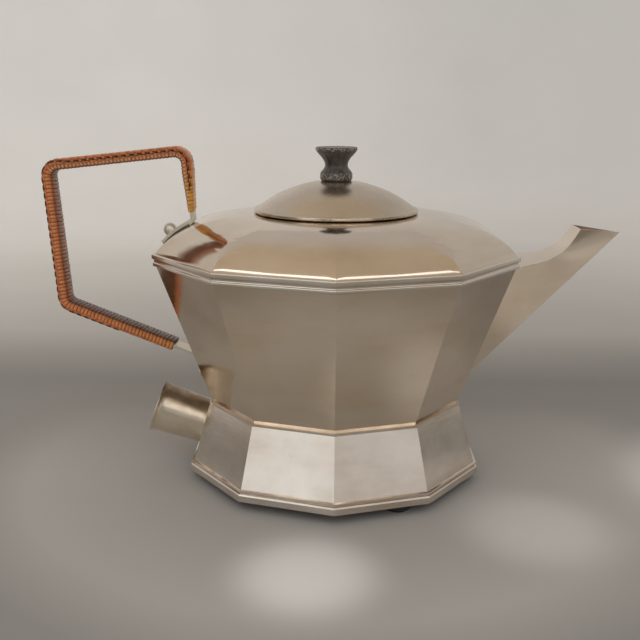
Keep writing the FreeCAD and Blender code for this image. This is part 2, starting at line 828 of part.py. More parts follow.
# ---- Inlet --------------------------------------------------------------------------------------
def shroud_placement():
    centre = FreeCAD.Vector(-flat_radius(plinth_corner(SHROUD_CENTRE_Z)), 0, SHROUD_CENTRE_Z)
    tilt = math.radians(SHROUD_TILT_DEG)
    axis = FreeCAD.Vector(-math.cos(tilt), 0, math.sin(tilt))
    return FreeCAD.Placement(centre, FreeCAD.Rotation(Z_AXIS, axis))


def on_shroud_axis(shape):
    shape.Placement = shroud_placement().multiply(shape.Placement)
    return shape


def shroud_block():
    return on_shroud_axis(turned((
        (0, -8.0),
        (SHROUD_ROOT_RADIUS, -8.0),
        (SHROUD_ROOT_RADIUS, 0),
        (SHROUD_MOUTH_RADIUS, SHROUD_LENGTH),
        (0, SHROUD_LENGTH),
    )))


def inlet_shroud():
    length = SHROUD_LENGTH
    mouth = SHROUD_MOUTH_RADIUS
    return on_shroud_axis(turned((
        (SHROUD_ROOT_RADIUS, -4.5),
        (SHROUD_ROOT_RADIUS, 0),
        (mouth, length - 3.4),
        (mouth + 0.5, length - 1.6),
        (SHROUD_RIM_RADIUS, length - 0.5),
        (SHROUD_RIM_RADIUS, length),
        (SHROUD_RIM_RADIUS - 0.9, length),
        (mouth - 0.4, length - 1.6),
        (mouth - SHROUD_WALL, length - 3.4),
        (SHROUD_ROOT_RADIUS - SHROUD_WALL, 0),
        (SHROUD_ROOT_RADIUS - SHROUD_WALL, -4.5),
    )))


def pin_offsets():
    return (-PIN_SPACING / 2, PIN_SPACING / 2)


def inlet_insulator():
    block = turned((
        (0, -6.0),
        (10.2, -6.0),
        (10.2, -4.0),
        (SHROUD_ROOT_RADIUS - SHROUD_WALL, -4.0),
        (SHROUD_ROOT_RADIUS - SHROUD_WALL, 0),
        (SHROUD_ROOT_RADIUS - SHROUD_WALL, 4.0),
        (9.6, INSULATOR_FACE),
        (0, INSULATOR_FACE),
    ))
    for y in pin_offsets():
        block = block.cut(Part.makeCylinder(PIN_SHANK_RADIUS, 30, FreeCAD.Vector(0, y, -10)))
    return on_shroud_axis(block)


def contact_pins():
    pins = []
    for y in pin_offsets():
        shank = Part.makeCylinder(PIN_SHANK_RADIUS, INSULATOR_FACE + 11, FreeCAD.Vector(0, y, -11))
        pin = Part.makeCylinder(PIN_RADIUS, PIN_LENGTH, FreeCAD.Vector(0, y, INSULATOR_FACE))
        tip_z = INSULATOR_FACE + PIN_LENGTH
        tip = Part.makeCone(PIN_RADIUS, 1.2, 1.0, FreeCAD.Vector(0, y, tip_z))
        pins.append(shank.fuse([pin, tip]).removeSplitter())
    return on_shroud_axis(Part.makeCompound(pins))


def pin_nuts():
    nuts = []
    for y in pin_offsets():
        nut = hexagon(3.6, 2.6, FreeCAD.Vector(0, y, -8.6), Z_AXIS)
        nuts.append(nut.cut(Part.makeCylinder(PIN_SHANK_RADIUS, 8, FreeCAD.Vector(0, y, -10))))
    return on_shroud_axis(Part.makeCompound(nuts))


# ---- Heating unit under the vessel floor --------------------------------------------------------
def disc(radius, top_z, thickness, hole):
    low = top_z - thickness
    return turned(((hole, low), (radius, low), (radius, top_z), (hole, top_z)))


def mica_discs():
    upper = disc(CLAMP_RADIUS - 0.5, FLOOR_Z, 0.5, 3.0)
    lower = disc(CLAMP_RADIUS - 0.5, FLOOR_Z - 2.5, 0.5, 3.0)
    return Part.makeCompound([upper, lower])


def heating_element():
    return disc(ELEMENT_RADIUS, FLOOR_Z - 0.5, 2.0, 8.0)


def clamp_plate():
    return disc(CLAMP_RADIUS, FLOOR_Z - 3.0, 3.0, 3.0)


def clamp_stud():
    top = FLOOR_Z + FLOOR_THICKNESS
    shank = rod(3.0, FreeCAD.Vector(0, 0, FLOOR_Z - 12), FreeCAD.Vector(0, 0, top))
    head = rod(6.0, FreeCAD.Vector(0, 0, top), FreeCAD.Vector(0, 0, top + 1.4))
    return shank.fuse(head).removeSplitter()


def clamp_nut():
    low = FLOOR_Z - 6.0 - 4.0
    nut = hexagon(6.5, 4.0, FreeCAD.Vector(0, 0, low), Z_AXIS)
    return nut.cut(Part.makeCylinder(3.0, 12, FreeCAD.Vector(0, 0, low - 4)))


def post_centres():
    low = FLOOR_Z - 6.0
    return [FreeCAD.Vector(POST_X, side * POST_SPACING / 2, low) for side in (-1, 1)]


def terminal_posts():
    posts = []
    for centre in post_centres():
        posts.append(rod(2.2, centre - Z_AXIS * 4.0, centre))
    return Part.makeCompound(posts)


def inner_leads():
    leads = []
    placement = shroud_placement()
    for y, post in zip(pin_offsets(), post_centres()):
        start = placement.multVec(FreeCAD.Vector(0, y, -11))
        away = placement.Rotation.multVec(FreeCAD.Vector(0, 0, -1))
        knee = start + away * 6.0
        under = post - Z_AXIS * 9.0
        end = post - Z_AXIS * 4.0
        pieces = [rod(1.1, start, knee), rod(1.1, knee, under), rod(1.1, under, end)]
        joints = [Part.makeSphere(1.1, knee), Part.makeSphere(1.1, under)]
        leads.append(pieces[0].fuse(pieces[1:] + joints).removeSplitter())
    return Part.makeCompound(leads)


NODES = {
    "body_shell": body_shell,
    "vessel_floor": vessel_floor,
    "shoulder_cover": shoulder_cover,
    "ledge_moulding": ledge_moulding,
    "lid_seat_ring": lid_seat_ring,
    "lid_dome": lid_dome,
    "lid_flange": lid_flange,
    "lid_knob": lid_knob,
    "knob_stud": knob_stud,
    "knob_washer": knob_washer,
    "knob_nut": knob_nut,
    "spout_shell": spout_shell,
    "handle_strap": handle_strap,
    "handle_cane": handle_cane,
    "foot_gasket": foot_gasket,
    "handle_dome_nuts": handle_dome_nuts,
    "handle_bolts": handle_bolts,
    "plinth_shell": plinth_shell,
    "plinth_rim": plinth_rim,
    "base_plate": base_plate,
    "base_screws": base_screws,
    "feet": feet,
    "foot_screws": foot_screws,
    "inlet_shroud": inlet_shroud,
    "inlet_insulator": inlet_insulator,
    "contact_pins": contact_pins,
    "pin_nuts": pin_nuts,
    "mica_discs": mica_discs,
    "heating_element": heating_element,
    "clamp_plate": clamp_plate,
    "clamp_stud": clamp_stud,
    "clamp_nut": clamp_nut,
    "terminal_posts": terminal_posts,
    "inner_leads": inner_leads,
}

for name, build in NODES.items():
    shape = build()
    shape.exportStep("parts/" + name + ".step")
    print(name, len(shape.Solids), "solid(s)", shape.isValid(), round(shape.Volume, 1))
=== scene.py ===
# %% [markdown]
# # A ten-sided electric tea kettle, dressed for the studio
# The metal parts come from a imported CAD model, which is loaded as a fixed frame. This script gives
# them their plate, winds the cane of the handle, wears the knob, and lights the whole. Everything is
# in metres: +X runs to the spout, -Y to the camera, and +Z is up. Lengths named in millimetres are
# multiplied by MM where they are used.

# %% Load the frame
import bpy
import bmesh
import json
import math
import random
from mathutils import Matrix, Vector


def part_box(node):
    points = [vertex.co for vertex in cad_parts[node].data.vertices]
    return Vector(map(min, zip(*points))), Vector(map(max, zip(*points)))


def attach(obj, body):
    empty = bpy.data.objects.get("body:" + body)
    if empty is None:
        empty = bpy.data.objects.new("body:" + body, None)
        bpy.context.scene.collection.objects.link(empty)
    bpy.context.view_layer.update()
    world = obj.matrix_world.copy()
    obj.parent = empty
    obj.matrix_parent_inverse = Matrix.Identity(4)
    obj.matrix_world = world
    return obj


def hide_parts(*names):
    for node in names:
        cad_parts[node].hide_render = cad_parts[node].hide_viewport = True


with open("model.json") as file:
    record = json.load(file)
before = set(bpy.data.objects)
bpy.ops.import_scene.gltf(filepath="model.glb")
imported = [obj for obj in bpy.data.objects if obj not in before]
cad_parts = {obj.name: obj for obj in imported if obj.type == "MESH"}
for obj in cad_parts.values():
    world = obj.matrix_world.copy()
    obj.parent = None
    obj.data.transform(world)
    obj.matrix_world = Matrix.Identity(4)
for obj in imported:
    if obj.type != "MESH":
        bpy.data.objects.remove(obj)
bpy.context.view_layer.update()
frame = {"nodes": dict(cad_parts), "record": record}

nodes = frame["nodes"]
scene = bpy.context.scene
MM = 0.001
random.seed(7)

# %% [markdown]
# ## The camera
# The kettle is seen from a little above the lid, from half a metre away. Such a close view makes the
# near corner of the plinth look larger than the far ones, so the distance matters as much as the
# angle. The standard view transform keeps pale greys neutral.

# %% Camera
scene.view_settings.view_transform = "Standard"
scene.view_settings.look = "None"
camera_data = bpy.data.cameras.new("camera")
camera = bpy.data.objects.new("camera", camera_data)
scene.collection.objects.link(camera)
camera_data.lens = 52.08
camera_data.clip_start = 0.01
camera.location = (-0.0030, -0.4763, 0.1955)
heading, pitch, roll = 0.0103, math.radians(76.38), 0.0055
turned = Matrix.Rotation(heading, 4, "Z") @ Matrix.Rotation(pitch, 4, "X") @ Matrix.Rotation(roll, 4, "Z")
camera.rotation_euler = turned.to_euler()
scene.camera = camera
print("camera at", [round(v, 3) for v in camera.location])

# %% [markdown]
# ## Selecting in code
# Operators work on whatever is selected, and loading leaves every CAD node selected. These helpers
# clear the selection, then pick one object, or the faces and edges that pass a test.

# %% Selection helpers
def pick(obj):
    if bpy.context.object and bpy.context.object.mode != "OBJECT":
        bpy.ops.object.mode_set(mode="OBJECT")
    bpy.ops.object.select_all(action="DESELECT")
    bpy.context.view_layer.objects.active = obj
    obj.select_set(True)
    return obj


def edit(obj, mode="FACE"):
    pick(obj)
    bpy.ops.object.mode_set(mode="EDIT")
    bpy.ops.mesh.select_mode(type=mode)
    bpy.ops.mesh.select_all(action="DESELECT")


def done(obj):
    bpy.ops.object.mode_set(mode="OBJECT")
    return obj


def select_where(obj, test, mode="FACE"):
    edit(obj, mode)
    mesh = bmesh.from_edit_mesh(obj.data)
    items = {"FACE": mesh.faces, "EDGE": mesh.edges, "VERT": mesh.verts}[mode]
    count = 0
    for item in items:
        if test(item):
            item.select_set(True)
            count += 1
    bmesh.update_edit_mesh(obj.data)
    return count


def apply_modifiers(obj):
    pick(obj)
    for modifier in list(obj.modifiers):
        bpy.ops.object.modifier_apply(modifier=modifier.name)


def bake_place(obj):
    pick(obj)
    bpy.ops.object.transform_apply(location=True, rotation=True, scale=True)
    return obj

# %% [markdown]
# ## Floor and backdrop
# A photographer's paper sweep: flat under the kettle, curving up into a wall with no corner. It is
# made as one profile, extruded point by point and spun round the vertical axis, so the kettle has a
# backdrop from every side. Polished metal shows its room, so this sheet matters as much as the plate.

# %% Sweep
FLOOR_STEP, FLOOR_STEPS = 0.1, 9
COVE_RADIUS, COVE_STEPS = 0.5, 12
WALL_HEIGHT = 0.5


def sweep_of_paper():
    bpy.ops.object.select_all(action="DESELECT")
    bpy.ops.mesh.primitive_plane_add(size=0.02, location=(0, 0, 0))
    sweep = bpy.context.object
    sweep.name = "paper_sweep"
    edit(sweep, "VERT")
    bpy.ops.mesh.select_all(action="SELECT")
    bpy.ops.mesh.merge(type="CENTER")
    for _ in range(FLOOR_STEPS):
        bpy.ops.mesh.extrude_vertices_move(TRANSFORM_OT_translate={"value": (FLOOR_STEP, 0, 0)})
    for i in range(COVE_STEPS):
        low, high = (math.radians(90.0 / COVE_STEPS * k) for k in (i, i + 1))
        out, up = math.sin(high) - math.sin(low), math.cos(low) - math.cos(high)
        move = (COVE_RADIUS * out, 0, COVE_RADIUS * up)
        bpy.ops.mesh.extrude_vertices_move(TRANSFORM_OT_translate={"value": move})
    bpy.ops.mesh.extrude_vertices_move(TRANSFORM_OT_translate={"value": (0, 0, WALL_HEIGHT)})
    bpy.ops.mesh.select_all(action="SELECT")
    bpy.ops.mesh.spin(steps=96, angle=2 * math.pi, center=(0, 0, 0), axis=(0, 0, 1))
    bpy.ops.mesh.select_all(action="SELECT")
    bpy.ops.mesh.remove_doubles(threshold=1e-5)
    bpy.ops.mesh.normals_make_consistent(inside=True)
    done(sweep)
    bpy.ops.object.shade_smooth()
    return sweep


sweep = sweep_of_paper()
print("sweep faces:", len(sweep.data.polygons))

# %% [markdown]
# ## Material helpers
# Every finish is a small network of nodes: noises, ramps that stretch their grey, and blends between
# two colours. A texture reads Object coordinates, which here are metres in the kettle's own frame, so
# a noise scale of 100 means about one blotch a centimetre.

# %% Node helpers
class Finish:
    def __init__(self, name, world=None):
        self.material = world or bpy.data.materials.new(name)
        self.material.use_nodes = True
        self.tree = self.material.node_tree
        self.shader = self.tree.nodes["Background" if world else "Principled BSDF"]
        self.place = self.node("ShaderNodeTexCoord").outputs["Object"]

    def node(self, kind, **settings):
        made = self.tree.nodes.new(kind)
        for key, value in settings.items():
            setattr(made, key, value)
        return made

    def link(self, source, target):
        self.tree.links.new(source, target)

    def stretched(self, scale, turn=(0, 0, 0)):
        mapping = self.node("ShaderNodeMapping")
        mapping.inputs["Scale"].default_value = scale
        mapping.inputs["Rotation"].default_value = turn
        self.link(self.place, mapping.inputs["Vector"])
        return mapping.outputs["Vector"]

    def noise(self, scale, detail=3.0, rough=0.5, place=None, distortion=0.0):
        made = self.node("ShaderNodeTexNoise")
        made.inputs["Scale"].default_value = scale
        made.inputs["Detail"].default_value = detail
        made.inputs["Roughness"].default_value = rough
        made.inputs["Distortion"].default_value = distortion
        self.link(place or self.place, made.inputs["Vector"])
        return made.outputs["Fac"]

    def spread(self, source, low, high, out_low, out_high):
        made = self.node("ShaderNodeMapRange")
        limits = {"From Min": low, "From Max": high, "To Min": out_low, "To Max": out_high}
        for name, value in limits.items():
            made.inputs[name].default_value = value
        self.link(source, made.inputs["Value"])
        return made.outputs["Result"]

    def blend(self, factor, first, second):
        made = self.node("ShaderNodeMix", data_type="RGBA")
        self.link(factor, made.inputs[0])
        for socket, value in ((made.inputs[6], first), (made.inputs[7], second)):
            if isinstance(value, tuple):
                socket.default_value = (*value, 1)
            else:
                self.link(value, socket)
        return made.outputs[2]

    def parts(self):
        made = self.node("ShaderNodeSeparateXYZ")
        self.link(self.place, made.inputs[0])
        return made.outputs

    def length(self, vector):
        made = self.node("ShaderNodeVectorMath", operation="LENGTH")
        self.link(vector, made.inputs[0])
        return made.outputs["Value"]

    def attribute(self, name):
        return self.node("ShaderNodeAttribute", attribute_name=name).outputs["Fac"]

    def maths(self, operation, first, second):
        made = self.node("ShaderNodeMath", operation=operation)
        for socket, value in zip(made.inputs, (first, second)):
            if isinstance(value, (int, float)):
                socket.default_value = value
            else:
                self.link(value, socket)
        return made.outputs[0]

    def bump(self, height, strength, distance, under=None):
        made = self.node("ShaderNodeBump")
        made.inputs["Strength"].default_value = strength
        made.inputs["Distance"].default_value = distance
        self.link(height, made.inputs["Height"])
        if under:
            self.link(under, made.inputs["Normal"])
        return made.outputs["Normal"]

    def set(self, **values):
        for name, value in values.items():
            self.shader.inputs[name.replace("_", " ")].default_value = value

    def feed(self, name, source):
        self.link(source, self.shader.inputs[name])


print("material helpers ready")

# %% [markdown]
# ## The paper's painted light
# The paper's grey is painted light and shade on one sheet. In front the grey follows the distance
# from the kettle, brightest in a painted band of light close in front of it. Behind, it follows depth,
# with a painted dark band where the floor ends and a pale wall above it. Two ramps are blended by the
# Y part of the Object vector, and the part behind is painted a little lighter on the handle's side.
# The wall also glows faintly, which is painted light.

# %% Paper with painted light
REACH = 1.6
# Stops of the two ramps of painted light and shade: (share of REACH, grey).
PAINTED_LIGHT_BEHIND = (
    (0.0, 0.47), (0.04, 0.42), (0.094, 0.37), (0.13, 0.47),
    (0.18, 0.66), (0.30, 0.76), (0.45, 0.82), (1.0, 0.86))
PAINTED_LIGHT_BEFORE = (
    (0.0, 0.48), (0.06, 0.58), (0.10, 0.64), (0.125, 0.44),
    (0.20, 0.35), (0.40, 0.46), (0.70, 0.36), (1.0, 0.36))
CLOUD_GREY = (0.36, 0.34, 0.32)


def painted_light_ramp(finish, distance, stops):
    ramp = finish.node("ShaderNodeValToRGB")
    finish.link(distance, ramp.inputs["Fac"])
    band = ramp.color_ramp
    while len(band.elements) < len(stops):
        band.elements.new(0.5)
    for element, (place, grey) in zip(band.elements, stops):
        element.position = place
        element.color = (grey, grey * 0.995, grey * 0.985, 1)  # a trace of warmth
    return ramp.outputs["Color"]


def paper_with_painted_light():
    finish = Finish("paper")
    parts = finish.parts()
    distance = finish.spread(finish.length(finish.place), 0.0, REACH, 0.0, 1.0)
    depth = finish.spread(parts["Y"], 0.0, REACH, 0.0, 1.0)
    side = finish.spread(parts["Y"], -0.02, 0.10, 0.0, 1.0)
    behind = finish.node("ShaderNodeVectorMath", operation="SCALE")
    finish.link(painted_light_ramp(finish, depth, PAINTED_LIGHT_BEHIND), behind.inputs[0])
    # Painted light: behind the kettle the paper is lighter on the handle's side.
    finish.link(finish.spread(parts["X"], -0.25, 0.25, 1.11, 0.92), behind.inputs["Scale"])
    # The paper's grey is painted light and shade: a bright band in front of the kettle, a dark band
    # behind it.
    grey = finish.blend(side, painted_light_ramp(finish, distance, PAINTED_LIGHT_BEFORE), behind.outputs["Vector"])
    cloud = finish.spread(finish.noise(6.0, 2.0), 0.3, 0.7, 0.0, 0.10)
    finish.feed("Base Color", finish.blend(cloud, grey, CLOUD_GREY))
    # Painted light: the paper glows behind the kettle and far from it, a little more on the handle's
    # side.
    painted_glow = finish.maths("MULTIPLY", side, finish.spread(parts["X"], -0.6, 0.6, 0.19, 0.15))
    far = finish.spread(distance, 0.2, 0.7, 0.0, 1.0)
    finish.feed("Emission Strength", finish.maths("MULTIPLY", painted_glow, far))
    finish.feed("Normal", finish.bump(finish.noise(900.0, 2.0), 0.08, 0.0002))
    finish.set(Roughness=0.75, Emission_Color=(1.0, 0.98, 0.95, 1.0))
    finish.shader.inputs["Specular IOR Level"].default_value = 0.2
    return finish.material


sweep.data.materials.append(paper_with_painted_light())
print("paper stops set")

# %% [markdown]
# ## Studio light
# Two tall softboxes stand at the camera's left and right, where the two front faces of the plinth
# mirror them, and that is why those faces are so bright. Narrow strips above them draw the white lines
# along the mouldings and the glints on the lid's rim. A key lamp and a small fill stand in front, and
# the fill is the soft shine on the inlet's tube. Spots lay pools of light on the floor, which the body
# and the spout pick up. The room itself is a soft grey, browner overhead, where the domed top looks.
# The area lamps are hidden from the camera but not from the metal.

# %% Lights
AIM_HEIGHT = 0.06
SPOT_HEIGHT, SPOT_BACK = 0.9, 0.42


def softbox(name, azimuth, elevation, distance, width, height, strength, colour):
    # Strength is the brightness that a mirror sees; the lamp's watts follow from its area.
    data = bpy.data.lights.new(name, "AREA")
    data.shape = "RECTANGLE"
    data.size, data.size_y = width, height
    data.energy = strength * width * height * math.pi
    data.color = colour
    lamp = bpy.data.objects.new(name, data)
    scene.collection.objects.link(lamp)
    a, e = math.radians(azimuth), math.radians(elevation)
    way = Vector((math.cos(a) * math.cos(e), math.sin(a) * math.cos(e), math.sin(e)))
    lamp.location = Vector((0, 0, AIM_HEIGHT)) + way * distance
    lamp.rotation_euler = way.to_track_quat("Z", "Y").to_euler()
    lamp.visible_camera = False
    return lamp


def floor_spot(name, x, y, watts, cone):
    data = bpy.data.lights.new(name, "SPOT")
    data.energy, data.spot_size, data.spot_blend = watts, math.radians(cone), 1.0
    data.shadow_soft_size = 0.01
    data.color = (1.0, 0.97, 0.93)
    lamp = bpy.data.objects.new(name, data)
    scene.collection.objects.link(lamp)
    lamp.location = (x, y - SPOT_BACK, SPOT_HEIGHT)
    aim = lamp.location - Vector((x, y, 0))
    lamp.rotation_euler = aim.to_track_quat("Z", "Y").to_euler()
    return lamp


def room_light():
    world = bpy.data.worlds.new("room")
    finish = Finish("room", world)
    parts = finish.parts()
    height = finish.spread(parts["Z"], 0.70, 0.88, 0.0, 1.0)
    finish.feed("Color", finish.blend(height, (0.455, 0.43, 0.41), (0.45, 0.385, 0.30)))
    finish.feed("Strength", finish.spread(parts["X"], -0.45, 0.05, 1.13, 1.0))
    return world


softbox("left_softbox", -129, 15, 0.95, 0.44, 0.70, 0.72, (0.98, 1.0, 1.0))
softbox("right_softbox", -51, 16, 0.95, 0.42, 0.66, 0.46, (1.0, 0.98, 0.97))
softbox("left_strip", -129, 50, 0.95, 0.44, 0.09, 1.3, (1.0, 1.0, 1.0))
softbox("right_strip", -51, 50, 0.95, 0.44, 0.09, 1.2, (1.0, 1.0, 1.0))
softbox("camera_fill", -97, 12, 1.05, 0.22, 0.20, 1.1, (1.0, 0.98, 0.94))
softbox("front_key", -80, 30, 1.15, 0.50, 0.42, 1.20, (1.0, 0.98, 0.95))
floor_spot("front_pool", -0.012, -0.124, 17.0, 4.4)
floor_spot("right_pool", 0.094, -0.078, 8.0, 5.0)
floor_spot("spout_pool", 0.235, -0.028, 22.0, 10.5)
floor_spot("mouth_pool", 0.325, -0.040, 22.0, 9.0)
scene.world = room_light()

# %% [markdown]
# ## Nickel plate
# The sheet metal is plated brass, polished to a mirror and gone slightly warm with age. Three things
# keep a mirror from looking like plastic chrome: cloudy tarnish in its colour, a roughness that
# changes from place to place, and a faint unevenness of the sheet that bends its reflections. The
# inlet's tube is coloured brown along its top.

# %% Plate finish
INLET_TILT = math.radians(19.0)
EDGE_NOISE_DEPTH, BROWN_FROM, BROWN_TO = 10.0 * MM, 9.0 * MM, 17.0 * MM
BROWN = (0.20, 0.135, 0.085)


def plate_finish(name, bright, tarnished, rough, clouds=26.0, scratches=0.05, waves=0.12):
    finish = Finish(name)
    cloud = finish.noise(clouds, 5.0, 0.55)
    streak = finish.noise(60.0, 4.0, 0.6, finish.stretched((0.25, 0.25, 1.0)))
    both = finish.maths("MULTIPLY", cloud, streak)
    colour = finish.blend(finish.spread(both, 0.16, 0.40, 0.0, 1.0), bright, tarnished)
    spots = finish.spread(finish.noise(150.0, 4.0, 0.6), 0.66, 0.80, 0.0, 0.22)
    spotted = finish.blend(spots, colour, tuple(0.55 * c for c in tarnished))
    finish.feed("Base Color", spotted)
    smear = finish.noise(90.0, 5.0, 0.6, finish.stretched((1.0, 1.0, 0.3)))
    finish.feed("Roughness", finish.spread(smear, 0.3, 0.75, rough[0], rough[1]))
    wave = finish.noise(16.0, 1.0)
    fine = finish.noise(700.0, 2.0, 0.5, finish.stretched((0.12, 0.12, 1.0)))
    normal = finish.bump(wave, waves, 0.002)
    finish.feed("Normal", finish.bump(fine, scratches, 0.0002, normal))
    finish.set(Metallic=1.0)
    return finish


# Colours the tube brown along its top.
def brown_along_top(finish):
    # The dot product measures a point's height square to the tilted tube. Noise makes the edge ragged.
    above = finish.node("ShaderNodeVectorMath", operation="DOT_PRODUCT")
    finish.link(finish.place, above.inputs[0])
    above.inputs[1].default_value = (math.sin(INLET_TILT), 0, math.cos(INLET_TILT))
    edge_noise = finish.maths("MULTIPLY", finish.noise(110.0, 3.0, 0.6), EDGE_NOISE_DEPTH)
    level = finish.maths("ADD", above.outputs["Value"], edge_noise)
    brown = finish.spread(level, BROWN_FROM, BROWN_TO, 0.0, 0.80)
    plated = finish.shader.inputs["Base Color"].links[0].from_socket
    finish.feed("Base Color", finish.blend(brown, plated, BROWN))
    return finish


body_plate = plate_finish(
    "body_plate", (0.83, 0.72, 0.605), (0.73, 0.605, 0.47), (0.07, 0.15), scratches=0.03, waves=0.06)
lid_plate = plate_finish(
    "lid_plate", (0.74, 0.65, 0.55), (0.64, 0.54, 0.43), (0.22, 0.31), scratches=0.03, waves=0.05)
inlet_plate = brown_along_top(plate_finish(
    "inlet_plate", (0.93, 0.83, 0.68), (0.76, 0.64, 0.49), (0.26, 0.38), 60.0, 0.04, 0.05))
strap_plate = plate_finish(
    "strap_plate", (0.92, 0.87, 0.77), (0.80, 0.72, 0.60), (0.36, 0.50), waves=0.03)
trim_plate = plate_finish(
    "trim_plate", (0.84, 0.78, 0.70), (0.72, 0.62, 0.50), (0.10, 0.20), waves=0.04)
plinth_plate = plate_finish(
    "plinth_plate", (0.84, 0.77, 0.70), (0.70, 0.61, 0.52), (0.10, 0.22), 34.0, 0.10, 0.06)
spout_lining = plate_finish(
    "spout_lining", (0.42, 0.22, 0.15), (0.16, 0.09, 0.07), (0.30, 0.50), 90.0)
inner_plate = plate_finish(
    "inner_plate", (0.58, 0.50, 0.42), (0.40, 0.31, 0.24), (0.30, 0.50))
print("plate finishes:", [material.name for material in bpy.data.materials if "plate" in material.name])

# %% [markdown]
# ## Metal skins with softened edges
# A folded or soldered edge is never a perfect knife: polishing rounds it by a few tenths of a
# millimetre, and that round catches a line of light. Each metal part is copied from the frame, its
# loose triangles are merged into whole faces, and its sharp edges are bevelled. Weighted normals then
# keep each large facet flat to the eye, so it mirrors one patch of the room. The tube of the inlet is
# round and needs no such help. The copy is put on the CAD node's body, and the CAD node is hidden.
# The copy stands for the CAD node, which stays in the physics model.

# %% Skin helper
WELD = 1e-5
FLAT_WITHIN, SMOOTH_BELOW = 0.4, 24.0
ROUND_PARTS = ("inlet_shroud",)


def skin(node, bevel, finish, sharp):
    source = nodes[node]
    bpy.ops.object.select_all(action="DESELECT")
    copy = bpy.data.objects.new(node + "_skin", source.data.copy())
    scene.collection.objects.link(copy)
    edit(copy, "EDGE")
    bpy.ops.mesh.select_all(action="SELECT")
    bpy.ops.mesh.customdata_custom_splitnormals_clear()
    bpy.ops.mesh.remove_doubles(threshold=WELD)
    bpy.ops.mesh.dissolve_limited(angle_limit=math.radians(FLAT_WITHIN))
    bpy.ops.mesh.select_all(action="DESELECT")
    bpy.ops.mesh.edges_select_sharp(sharpness=math.radians(sharp))
    bpy.ops.mesh.bevel(offset=bevel, segments=2, clamp_overlap=True)
    done(copy)
    bpy.ops.object.shade_smooth_by_angle(angle=math.radians(SMOOTH_BELOW))
    if node not in ROUND_PARTS:
        bpy.ops.object.modifier_add(type="WEIGHTED_NORMAL")
        copy.modifiers[-1].keep_sharp = True
        apply_modifiers(copy)
    copy.data.materials.clear()
    copy.data.materials.append(finish.material)
    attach(copy, body_names[node])
    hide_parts(node)
    return copy


bodies = frame["record"]["behaviour"]["bodies"]
body_names = {node: body for body, members in bodies.items() for node in members}
slot_names = {s["node"]: s["material_slot"] for s in frame["record"]["subparts"]}
skins = {}
# The last value is the fold, in degrees, above which an edge counts as sharp.
for node, bevel, finish, sharp in (
    ("body_shell", 0.35 * MM, body_plate, 20.0),
    ("ledge_moulding", 0.30 * MM, trim_plate, 20.0),
    ("plinth_shell", 0.50 * MM, plinth_plate, 20.0),
    ("plinth_rim", 0.30 * MM, plinth_plate, 20.0),
    ("spout_shell", 0.40 * MM, body_plate, 20.0),
    ("handle_strap", 0.25 * MM, strap_plate, 20.0),
    ("shoulder_cover", 0.30 * MM, body_plate, 22.0),
    ("inlet_shroud", 0.15 * MM, inlet_plate, 40.0),
):
    skins[node] = skin(node, bevel, finish, sharp)
    print(node, "faces:", len(skins[node].data.polygons))

# %% [markdown]
# ## Lining of the spout
# Inside the spout the plate has worn through to the copper-coloured metal below, and that shows as a
# reddish sliver at the mouth. The inner faces are those that look back across the spout's own middle
# plane, so a face's normal and its place are enough to find them.

# %% Spout lining
STEEP, CLEAR_OF_MIDDLE = 0.3, 1e-4


def looks_inward(face):
    across = face.normal.y
    return abs(across) > STEEP and across * face.calc_center_median().y < -CLEAR_OF_MIDDLE


spout = skins["spout_shell"]
spout.data.materials.append(spout_lining.material)
count = select_where(spout, looks_inward)
spout.active_material_index = 1
bpy.ops.object.material_slot_assign()
done(spout)
print("lining faces:", count)

# %% [markdown]
# ## The cane's path
# The handle's flat strap is wound with split cane so that it can be held while the kettle is hot. The
# wrap is built straight along X, as if the strap had not been bent yet, and a Curve modifier then
# bends it round the handle's corners. That keeps the turns close on the inside of a bend and spreads
# them on the outside, just as real cane lies. Corners and sections are in millimetres, as in the CAD.

# %% Handle curve
HANDLE_CORNERS = ((-85.0, 66.45), (-141.6, 88.8), (-147.0, 160.3), (-76.3, 168.2), (-73.95, 137.9))
BEND_RADIUS = 6.0
WRAP_HALF_WIDTH, WRAP_HALF_DEPTH, WRAP_CORNER = 6.36, 2.82, 2.2
STRAND_HALF, STRAND_SPREAD = 0.36, 2.7
TURN_PITCH = 1.9
# Distances along the handle at which its left leg and its top bar begin.
LEFT_LEG, TOP_BAR = 60.0, 130.0


def rounded_route(corners, radius, arc_step=math.radians(7.5)):
    route = [Vector(corners[0])]
    for before, corner, after in zip(corners, corners[1:], corners[2:]):
        before, corner, after = Vector(before), Vector(corner), Vector(after)
        come, go = (corner - before).normalized(), (after - corner).normalized()
        turn = come.angle_signed(go) * -1.0
        trim = radius * math.tan(abs(turn) / 2)
        centre = corner - come * trim + Vector((-come.y, come.x)) * math.copysign(radius, turn)
        steps = max(4, round(abs(turn) / arc_step))
        start = corner - come * trim - centre
        for i in range(steps + 1):
            route.append(centre + Matrix.Rotation(turn * i / steps, 2) @ start)
    route.append(Vector(corners[-1]))
    return route


def handle_curve():
    route = rounded_route(HANDLE_CORNERS, BEND_RADIUS)
    data = bpy.data.curves.new("handle_path", "CURVE")
    data.dimensions = "2D"
    spline = data.splines.new("POLY")
    spline.points.add(len(route) - 1)
    for point, place in zip(spline.points, route):
        point.co = (place.x * MM, place.y * MM, 0, 1)
    path = bpy.data.objects.new("handle_path", data)
    scene.collection.objects.link(path)
    length = sum((b - a).length for a, b in zip(route, route[1:]))
    return path, length


handle_path, handle_length = handle_curve()
print("cane runs for", round(handle_length, 1), "mm")

# %% [markdown]
# ## One turn of cane
# A turn is a torus pulled out into a rounded oblong: its four corners keep the torus's roundness and
# the faces between them become the straight runs. It is modelled once at the full section, then
# copied along the handle, each copy a little different, as strands cut by hand are.

